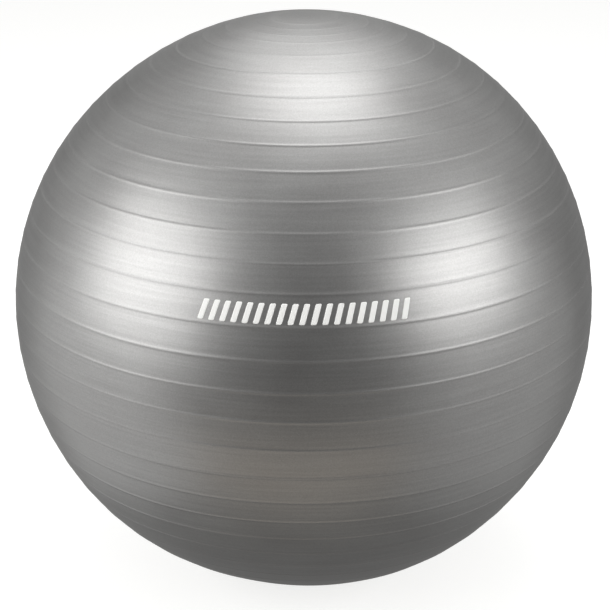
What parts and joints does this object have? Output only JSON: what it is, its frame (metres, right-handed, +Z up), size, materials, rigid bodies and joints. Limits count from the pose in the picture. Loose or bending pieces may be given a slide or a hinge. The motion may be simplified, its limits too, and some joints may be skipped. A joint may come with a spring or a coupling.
{
  "type": "exercise ball",
  "caption": "Large inflatable ribbed ball of soft metallic PVC for seated and floor exercise, with a push-in valve plug at the back.",
  "frame": {"origin": "middle of the flat contact patch that the ball rests on, at the bottom of its box", "axes": "+Z up through the poles of the rib pattern, the printed mark faces -Y, the valve faces +Y and up"},
  "size_m": [0.75, 0.75, 0.7465],
  "materials": {
    "skin": "satin",
    "seat": "matte",
    "plug": "satin",
    "ink": "satin"
  },
  "bodies": {
    "ball": {"ball_shell": "skin", "valve_seat": "seat", "printed_mark": "ink"},
    "plug": {"valve_plug": "plug"}
  },
  "joints": [
    {"name": "plug_pull", "type": "slide", "parent": "ball", "child": "plug", "axis": [0, 0.9461, 0.3239], "range_m": [0, 0.03]}
  ]
}
